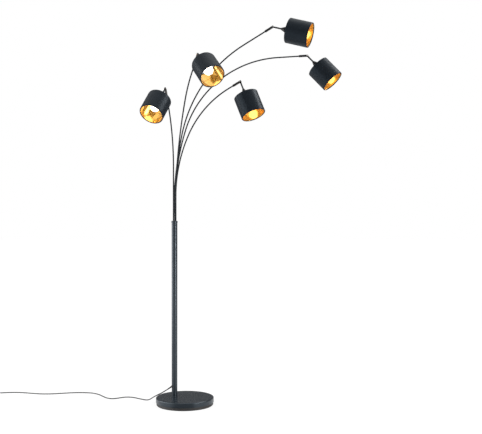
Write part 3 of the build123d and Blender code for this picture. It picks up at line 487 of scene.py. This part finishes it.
# a NURBS curve through open space; its order is set after its points, or it would stay at 2
def splineCurve(name, points, depth):
    curve = bpy.data.curves.new(name, "CURVE")
    curve.dimensions = "3D"
    spline = curve.splines.new("NURBS")
    spline.points.add(len(points) - 1)
    flat = np.concatenate([np.array(points), np.ones((len(points), 1))], 1)
    spline.points.foreach_set("co", flat.reshape(-1))
    spline.order_u = cordCurve["order"]
    spline.use_endpoint_u = True
    spline.resolution_u = cordCurve["resolution"]
    curve.bevel_depth = depth
    curve.bevel_resolution = cordCurve["roundness"]
    curve.use_fill_caps = True
    piece = bpy.data.objects.new(name, curve)
    bpy.context.scene.collection.objects.link(piece)
    return piece


# the line of a cord, read from its own spline with no thickness
def readLine(points):
    bare = splineCurve("bareLine", points, 0.0)
    bpy.context.view_layer.update()
    mesh = bpy.data.meshes.new_from_object(bare)
    line = np.zeros(len(mesh.vertices) * 3)
    mesh.vertices.foreach_get("co", line)
    bpy.data.meshes.remove(mesh)
    bpy.data.objects.remove(bare)
    return line.reshape(-1, 3)


def cordPiece(name, points, values, body, node):
    piece = splineCurve(name, points, values["diameter"] / 2)
    piece.data.materials.append(finishes["cord_sheath"])
    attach(piece, body)
    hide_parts(node)
    return piece


# turn by turn: in along a flat spiral, up one layer while it turns back, and out along the second
# layer; point = centre + radius x (cos angle, sin angle), and the control points lie slightly
# outside the turns, as far as the spline cuts inside them
def coilPoints(values):
    inward, pitch, climbTurns = values["layerTurns"], values["pitch"], values["climbTurns"]
    lastTurn = 2 * inward + climbTurns
    turns = np.arange(round(lastTurn * values["perTurn"]) + 1) / values["perTurn"]
    climbing = turns - inward
    inner = values["radius"] - pitch * inward
    radius = np.where(climbing < 0, values["radius"] - pitch * turns,
                      np.where(climbing < climbTurns,
                               inner - pitch * climbing * (climbTurns - climbing) * 2,
                               inner + pitch * (climbing - climbTurns)))
    radius = radius / np.cos(np.pi / values["perTurn"])
    angle = np.pi / 2 + 2 * np.pi * turns
    climb = np.clip(climbing / climbTurns, 0.0, 1.0)
    rise = values["rise"] * climb * climb * (3 - 2 * climb)
    x = values["centre"][0] + radius * np.cos(angle)
    y = values["centre"][1] + radius * np.sin(angle)
    turnPoints = np.stack([x, y, values["floor"] + rise], 1)
    return [*values["lead"], *turnPoints.tolist(), *values["tail"]]


# a stretch of a line between two distances along it, at even steps; distances below 0 count back
# from its end
def stretch(line, start, end, steps):
    run = np.concatenate([[0.0], np.cumsum(np.linalg.norm(np.diff(line, axis=0), axis=1))])
    if start < 0:
        start, end = run[-1] + start, run[-1] + end
    places = np.linspace(start, end, steps)
    return np.stack([np.interp(places, run, line[:, axis]) for axis in range(3)], 1)


# the four sleeves are (start, end, root), with start and end along the cord's line and root the
# radius at the housing; plain is the share at each end without ribs
relief = {"gland": (0.0055, 0.0335, 0.0040), "switchRight": (-0.034, -0.0055, 0.0044),
          "switchLeft": (0.0055, 0.0275, 0.0044), "plug": (-0.030, -0.0055, 0.0042),
          "tip": 0.0030, "rib": 0.00045, "ribs": 6, "flat": 0.6, "plain": 0.08,
          "closed": 0.00001, "overhang": 0.02, "steps": 96, "segments": 28}


# strain relief: a sleeve that tapers from its root at the housing to its tip along the cord, with
# round ribs: radius = taper + rib x (1 - s) x sine of s, cut flat, for s from 0 at the root to 1
def reliefSleeve(name, line, start, end, root):
    centre = stretch(line, start, end, relief["steps"])
    s = np.linspace(0.0, 1.0, relief["steps"])
    if start < 0:
        s = s[::-1]
    taper = root + (relief["tip"] - root) * s
    wave = np.clip(np.sin(2 * np.pi * relief["ribs"] * s), -relief["flat"], relief["flat"])
    ribbed = (s > relief["plain"]) * (s < 1 - relief["plain"])
    radii = taper + relief["rib"] * (1 - s) * wave * ribbed
    radii = np.concatenate([[relief["closed"]], radii, [relief["closed"]]])
    centre = np.concatenate([centre[:1], centre, centre[-1:]])
    centre[0] -= (centre[2] - centre[1]) * relief["overhang"]
    centre[-1] += (centre[-3] - centre[-4]) * relief["overhang"]
    grid = sleeve(centre, radii, relief["segments"])
    return gridSurface(name, grid, False, True, "black_moulding", "stand")


runPoints = cordRun["points"]
coilRoute = coilPoints(cordCoil)
mainsCord = cordPiece("mainsCord", runPoints, cordRun, "stand", "mains_cord")
coiledCord = cordPiece("coiledCord", coilRoute, cordCoil, "stand", "cord_coil")
runLine = readLine(runPoints)
coilLine = readLine(coilRoute)
glandRelief = reliefSleeve("glandRelief", runLine, *relief["gland"])
switchReliefRight = reliefSleeve("switchReliefRight", runLine, *relief["switchRight"])
switchReliefLeft = reliefSleeve("switchReliefLeft", coilLine, *relief["switchLeft"])
plugRelief = reliefSleeve("plugRelief", coilLine, *relief["plug"])

# middle is the loop's centre as its distance from the coil's axis and its height
coilTie = {"angle": 45.0, "middle": (0.0281, 0.0061), "half": (0.0077, 0.0060), "width": 0.0075,
           "thick": 0.0007, "squareness": 0.45, "segments": 72}


# tie round the coil: a flat strap whose loop is a rounded rectangle in the plane through the
# coil's axis: outward x half width x cos^0.45 + up x half height x sin^0.45, signs kept
def tieStrap(values):
    angle = np.radians(values["angle"])
    outward = np.array([np.cos(angle), np.sin(angle), 0.0])
    sideways = np.array([-np.sin(angle), np.cos(angle), 0.0])
    up = np.array([0.0, 0.0, 1.0])
    centre = np.array([*cordCoil["centre"], values["middle"][1]]) + outward * values["middle"][0]
    turn = np.linspace(0.0, 2 * np.pi, values["segments"], endpoint=False)
    squareCos, squareSin = (np.sign(wave) * np.abs(wave) ** values["squareness"]
                            for wave in (np.cos(turn), np.sin(turn)))
    halfWidth, thick = values["width"] / 2, values["thick"]
    section = np.array([(0, -halfWidth), (0, halfWidth), (-thick, halfWidth), (-thick, -halfWidth)])
    inset, offset = section[:, 0][:, None], section[:, 1][:, None, None]
    loop = (((values["half"][0] + inset) * squareCos)[:, :, None] * outward
            + ((values["half"][1] + inset) * squareSin)[:, :, None] * up)
    return gridSurface("coilTie", centre + loop + offset * sideways, True, True,
                       "black_moulding", "stand")


pinTip = {"radius": 0.00202, "start": 0.0100, "end": 0.0182, "rounding": 0.00082,
          "closed": 0.00001, "noseSteps": 8, "segments": 32}


# bare metal on the outer half of each pin of the plug, a hair thicker than the pin that it covers:
# a profile along the pin with a quarter round at its end, turned about the pin's own axis
def makePinTips(values):
    bend = np.linspace(0.0, np.pi / 2, values["noseSteps"])
    nose = np.stack([values["radius"] - values["rounding"] * (1 - np.cos(bend)),
                     values["end"] + values["rounding"] * np.sin(bend)], 1)
    root = [(values["closed"], values["start"]), (values["radius"], values["start"])]
    profile = np.concatenate([root, nose, [(values["closed"], nose[-1, 1])]])
    tips = []
    for mount in frame["record"]["mounts"]:
        if mount["name"].startswith("plug_pin_"):
            name = "pinTip_" + mount["name"].removeprefix("plug_pin_")
            place, axis = np.array(mount["pos_m"]), np.array(mount["axis"])
            grid = turned(profile, place, axis, np.array([0.0, 0.0, 1.0]), values["segments"])
            tips.append(gridSurface(name, grid, False, True, "nickel", "stand"))
    return tips


strap = tieStrap(coilTie)
pinTips = makePinTips(pinTip)
print("stage: cords")


# a sum of sines round a turned shape; each is (count round it, share, phase, turn per metre of
# the axis)
def waveSum(waves, angles, along):
    return sum(share * np.sin(count * angles + phase + slant * along)
               for count, share, phase, slant in waves)


# heading and pitch of each head's axis, from its knuckle out through the bulb, in degrees; in the
# dictionaries that follow, start, end and centre are distances from the knuckle along that axis
heads = {1: {"heading": -116.2, "pitch": -47.9}, 2: {"heading": -59.0, "pitch": -41.4},
         3: {"heading": -15.7, "pitch": -15.6}, 4: {"heading": -18.8, "pitch": -46.3},
         5: {"heading": -39.7, "pitch": -63.9}}

# hem is the radius of a hem's outside, hemCloth the length of cloth in it, in such radii, and
# turnIn how far the turned-in edge goes round beyond the hem's quarter, in radians
cover = {"radius": 0.0625, "start": 0.0845, "end": 0.1965, "cloth": 0.00045, "hem": 0.0026,
         "hemCloth": 2.6, "turnIn": 1.45, "hemSteps": 26, "wallSteps": 42, "segments": 256,
         "lap": 0.00032, "lapWidth": 0.011, "lapEdge": 0.0006, "wave": 0.00010, "waveFade": 0.01,
         "waves": [(3, 1.0, 0.7, 0.0), (7, 0.6, 2.1, 0.0), (11, 0.4, 0.0, 90.0)]}


# a lap joint in the cloth, at the side away from the hinge, where the radius steps out over the
# width of the lap; and faint waves round the wall, which fade out towards the hems
def clothSwell(angles, along):
    arc = (angles - np.pi) * cover["radius"]
    lap = np.clip((cover["lapWidth"] / 2 - np.abs(arc)) / cover["lapEdge"] + 0.5, 0.0, 1.0)
    fromEdge = np.minimum(along - cover["start"], cover["end"] - along)
    inWall = np.clip(fromEdge / cover["waveFade"], 0.0, 1.0)
    return lap * cover["lap"] + cover["wave"] * waveSum(cover["waves"], angles, along) * inWall


# the cloth's section: up round the upper wire from its turned-in edge, down the wall, round the
# lower wire, then back along the inner face one cloth's thickness inside
def coverProfile():
    centre = cover["radius"] - cover["hem"]
    bend = np.linspace(np.pi / 2 + cover["turnIn"], 0.0, cover["hemSteps"])
    wall = np.linspace(cover["start"], cover["end"], cover["wallSteps"])[1:-1]
    faces = []
    for hem in (cover["hem"], cover["hem"] - cover["cloth"]):
        outward, beyond = centre + hem * np.cos(bend), hem * np.sin(bend)
        upper = np.stack([outward, cover["start"] - beyond], 1)
        middle = np.stack([np.full(len(wall), centre + hem), wall], 1)
        lower = np.stack([outward, cover["end"] + beyond], 1)[::-1]
        faces.append(np.concatenate([upper, middle, lower]))
    outerFace, innerFace = faces
    return np.concatenate([outerFace, innerFace[::-1]])


# the section turned about the head's axis
def makeCover(number, start, axis, side):
    grid = turned(coverProfile(), start, axis, side, cover["segments"], clothSwell)
    piece = gridSurface(f"shadeCloth_{number}", grid, True, True, "shade_textile", f"head_{number}")
    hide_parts(f"shade_cover_{number}")


# inner and outer are the radii of the foil's two faces
liner = {"inner": 0.0609, "outer": 0.0614, "start": 0.0856, "end": 0.1954, "steps": 30,
         "segments": 192, "wave": 0.00006,
         "waves": [(5, 1.0, 1.3, 0.0), (9, 0.7, 0.0, 70.0), (17, 0.5, 0.0, 40.0)]}


# faint waves in the foil: wave x the sum of sines
def linerSwell(angles, along):
    return liner["wave"] * waveSum(liner["waves"], angles, along)


# a thin-walled tube, down its inner face and back up its outer one, turned about the head's axis
def makeLiner(number, start, axis, side):
    along = np.linspace(liner["start"], liner["end"], liner["steps"])
    inside = np.stack([np.full(liner["steps"], liner["inner"]), along], 1)
    outside = np.stack([np.full(liner["steps"], liner["outer"]), along[::-1]], 1)
    profile = np.concatenate([inside, outside])
    grid = turned(profile, start, axis, side, liner["segments"], linerSwell)
    piece = gridSurface(f"shadeFoil_{number}", grid, True, True, "gold_foil", f"head_{number}")
    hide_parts(f"shade_liner_{number}")


# joinAngle is where the flare meets the ball, in degrees from the neck's side; leave and arrive
# are the lengths of the flare's tangents at the neck and at the ball
bulb = {"ball": 0.0225, "centre": 0.1455, "neck": 0.00775, "neckStart": 0.1135, "joinAngle": 42.0,
        "leave": 0.010, "arrive": 0.014, "flareSteps": 24, "ballSteps": 60, "segments": 72,
        "closed": 0.00002}


# bulb glass: the neck, a flare on a cubic curve through two points with a tangent at each, which
# meets the ball smoothly, and the ball down to its tip as a circle
def bulbProfile():
    joinAngle = np.radians(bulb["joinAngle"])
    angle = np.linspace(joinAngle, np.pi, bulb["ballSteps"])
    radius = bulb["ball"]
    ball = np.stack([radius * np.sin(angle), bulb["centre"] - radius * np.cos(angle)], 1)
    neck = np.array([bulb["neck"], bulb["neckStart"]])
    s = np.linspace(0.0, 1.0, bulb["flareSteps"])[:, None]
    leave = np.array([0.0, 1.0]) * bulb["leave"]
    arrive = np.array([np.cos(joinAngle), np.sin(joinAngle)]) * bulb["arrive"]
    flare = ((2 * s**3 - 3 * s**2 + 1) * neck + (s**3 - 2 * s**2 + s) * leave
             + (-2 * s**3 + 3 * s**2) * ball[0] + (s**3 - s**2) * arrive)
    ball[-1, 0] = bulb["closed"]
    return np.concatenate([[(bulb["closed"], bulb["neckStart"])], flare, ball[1:]])


# contact is the profile of the contact and the insulator, as (radius, distance); the thread
# leaves plainStart and plainEnd smooth at the ends of the cap's wall
bulbCap = {"radius": 0.0069, "start": 0.0945, "plainStart": 0.001, "plainEnd": 0.003,
           "pitch": 0.00282, "depth": 0.00045, "steps": 90, "segments": 64, "closed": 0.00002,
           "contact": [(0.00002, 0.0901), (0.0016, 0.0901), (0.0026, 0.0906), (0.0030, 0.0915),
                       (0.0052, 0.0928)]}


# rolled thread: the radius goes in by depth x (1 - cosine) / 2, and its crest climbs one pitch in
# each turn
def capSwell(angles, along):
    wave = np.cos(2 * np.pi * along / bulbCap["pitch"] - angles)
    threadStart = bulbCap["start"] + bulbCap["plainStart"]
    inThread = (along > threadStart) & (along < bulb["neckStart"] - bulbCap["plainEnd"])
    return np.where(inThread, bulbCap["depth"] * (wave - 1) / 2, 0.0)


# the glass and the cap, each a profile turned about the head's axis
def makeBulb(number, start, axis, side):
    body, node = f"head_{number}", f"bulb_{number}"
    grid = turned(bulbProfile(), start, axis, side, bulb["segments"])
    glass = gridSurface(f"bulbGlass_{number}", grid, False, True, "opal_glass", body)
    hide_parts(node)
    along = np.linspace(bulbCap["start"], bulb["neckStart"], bulbCap["steps"])
    wall = np.stack([np.full(bulbCap["steps"], bulbCap["radius"]), along], 1)
    profile = np.concatenate([bulbCap["contact"], wall, [(bulbCap["closed"], bulb["neckStart"])]])
    grid = turned(profile, start, axis, side, bulbCap["segments"], capSwell)
    cap = gridSurface(f"bulbCap_{number}", grid, False, True, "nickel", body)
    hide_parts(node)


jointPlaces = {joint["name"]: joint for joint in frame["joints"]}
for number, values in heads.items():
    heading, pitch = np.radians(values["heading"]), np.radians(values["pitch"])
    level = np.cos(pitch)
    axis = np.array([level * np.cos(heading), level * np.sin(heading), np.sin(pitch)])
    tilt = jointPlaces[f"head_tilt_{number}"]
    knuckle, side = np.array(tilt["pos_m"]), np.array(tilt["axis"])
    side = side - axis * side.dot(axis)
    side /= np.linalg.norm(side)
    makeCover(number, knuckle, axis, side)
    makeLiner(number, knuckle, axis, side)
    makeBulb(number, knuckle, axis, side)
print("stage: heads")

# soft lamps round the set, as rectangles that face what they are aimed at
lamps = [
    {"name": "leftBox", "place": (-3.3, -0.35, 1.5), "aim": (0.1, 0.0, 1.2), "size": (4.0, 3.0),
     "power": 150.0},
    {"name": "rightBox", "place": (3.5, -2.8, 0.75), "aim": (0.1, 0.0, 0.7), "size": (1.3, 1.4),
     "power": 80.0},
    {"name": "rimBox", "place": (2.6, 0.5, 3.1), "aim": (0.5, 0.0, 1.7), "size": (1.3, 1.3),
     "power": 60.0},
    {"name": "topBox", "place": (0.3, 0.4, 4.4), "aim": (0.1, 0.0, 0.8), "size": (2.4, 2.4),
     "power": 15.0},
]


def addLamps():
    for values in lamps:
        data = bpy.data.lights.new(values["name"], "AREA")
        data.shape = "RECTANGLE"
        data.size, data.size_y = values["size"]
        data.energy = values["power"]
        lamp = bpy.data.objects.new(values["name"], data)
        lamp.location = values["place"]
        direction = Vector(values["aim"]) - Vector(values["place"])
        lamp.rotation_euler = direction.to_track_quat("-Z", "Y").to_euler()
        bpy.context.scene.collection.objects.link(lamp)


# 1 for what the camera, glossy and transmitted rays see, and 0 for light on surfaces
def seenDirectly(tree):
    path = addNode(tree, "ShaderNodeLightPath")
    glossy, through = path.outputs["Is Glossy Ray"], path.outputs["Is Transmission Ray"]
    bounced = calc(tree, "MAXIMUM", glossy, through)
    return calc(tree, "MAXIMUM", path.outputs["Is Camera Ray"], bounced)


surround = {"lightGrey": 0.42, "seenWhite": 1.0}


# the white surround; inputs 2 and 3 of a Mix node are its two numbers, and output 0 the mixed one
def makeWorld():
    world = bpy.data.worlds.new("studio")
    world.use_nodes = True
    tree = world.node_tree
    background = tree.nodes["Background"]
    strength = addNode(tree, "ShaderNodeMix", data_type="FLOAT")
    strength.inputs[2].default_value = surround["lightGrey"]
    strength.inputs[3].default_value = surround["seenWhite"]
    join(tree, seenDirectly(tree), strength.inputs["Factor"])
    join(tree, strength.outputs[0], background.inputs["Strength"])
    background.inputs["Color"].default_value = (1.0, 1.0, 1.0, 1.0)
    bpy.context.scene.world = world


# fade is the distance in metres over which the glow goes from near to far
floorCloth = {"half": 30.0, "colour": 0.80, "seenColour": 0.20, "grain": (30.0, 2.0),
              "grainRange": (0.99, 1.01), "glow": (0.850, 0.930), "fade": (1.0, 7.0)}


# the floor is a pale diffuse sheet that lights the lamp from below; what the camera and
# reflections see of it takes less of the lamps' light and glows up to white, and the shadow at
# the base still darkens it
def makeFloor(values):
    half = values["half"]
    corners = [(-half, -half, 0), (half, -half, 0), (half, half, 0), (-half, half, 0)]
    mesh = bpy.data.meshes.new("studioFloor")
    mesh.from_pydata(corners, [], [(0, 1, 2, 3)])
    material, tree, shader = newMaterial("studioFloor")
    grain = noise(tree, coordinates(tree), *values["grain"])
    seen = seenDirectly(tree)
    pale = spread(tree, seen, values["colour"], values["seenColour"], 0.0, 1.0)
    colour = calc(tree, "MULTIPLY", pale, spread(tree, grain, *values["grainRange"]))
    join(tree, colour, shader.inputs["Base Color"])
    setSockets(shader, {"Roughness": 1.0, "Specular IOR Level": 0.0,
                        "Emission Color": (1.0, 1.0, 1.0, 1.0)})
    distance = addNode(tree, "ShaderNodeVectorMath", operation="LENGTH")
    join(tree, coordinates(tree), distance.inputs[0])
    glow = spread(tree, distance.outputs["Value"], *values["glow"], *values["fade"])
    join(tree, calc(tree, "MULTIPLY", seen, glow), shader.inputs["Emission Strength"])
    mesh.materials.append(material)
    floor = bpy.data.objects.new("studioFloor", mesh)
    bpy.context.scene.collection.objects.link(floor)


# dark cloths that only reflections see, so that glossy dark parts keep dark middles: a ring round
# the set, and a strip on the floor in front of the base
flags = {"grey": 0.20, "radius": 5.0, "low": 0.25, "high": 5.0, "segments": 64}
frontCloth = {"grey": 0.20, "height": 0.0008,
              "corners": [(-0.10, -0.155), (0.10, -0.155), (0.30, -0.60), (-0.30, -0.60)]}


# a stage sheet that casts no shadow and shows in glossy reflections alone
def darkCloth(name, points, faces, grey):
    mesh = bpy.data.meshes.new(name)
    mesh.from_pydata(points, [], faces)
    material, tree, shader = newMaterial(name)
    setSockets(shader, {"Base Color": (grey, grey, grey, 1.0), "Roughness": 1.0,
                        "Specular IOR Level": 0.0})
    mesh.materials.append(material)
    cloth = bpy.data.objects.new(name, mesh)
    bpy.context.scene.collection.objects.link(cloth)
    cloth.visible_camera = False
    cloth.visible_diffuse = False
    cloth.visible_transmission = False
    cloth.visible_shadow = False


def makeFlags(values):
    count = values["segments"]
    turn = np.linspace(0.0, 2 * np.pi, count, endpoint=False)
    circle = np.stack([np.cos(turn), np.sin(turn)], 1) * values["radius"]
    points = [(*place, height) for height in (values["low"], values["high"]) for place in circle]
    quads = [(i, (i + 1) % count, count + (i + 1) % count, count + i) for i in range(count)]
    darkCloth("darkFlags", points, quads, values["grey"])


def makeFrontCloth(values):
    points = [(x, y, values["height"]) for x, y in values["corners"]]
    darkCloth("frontCloth", points, [(0, 3, 2, 1)], values["grey"])


makeWorld()
makeFloor(floorCloth)
makeFlags(flags)
makeFrontCloth(frontCloth)
addLamps()
print("stage: room")
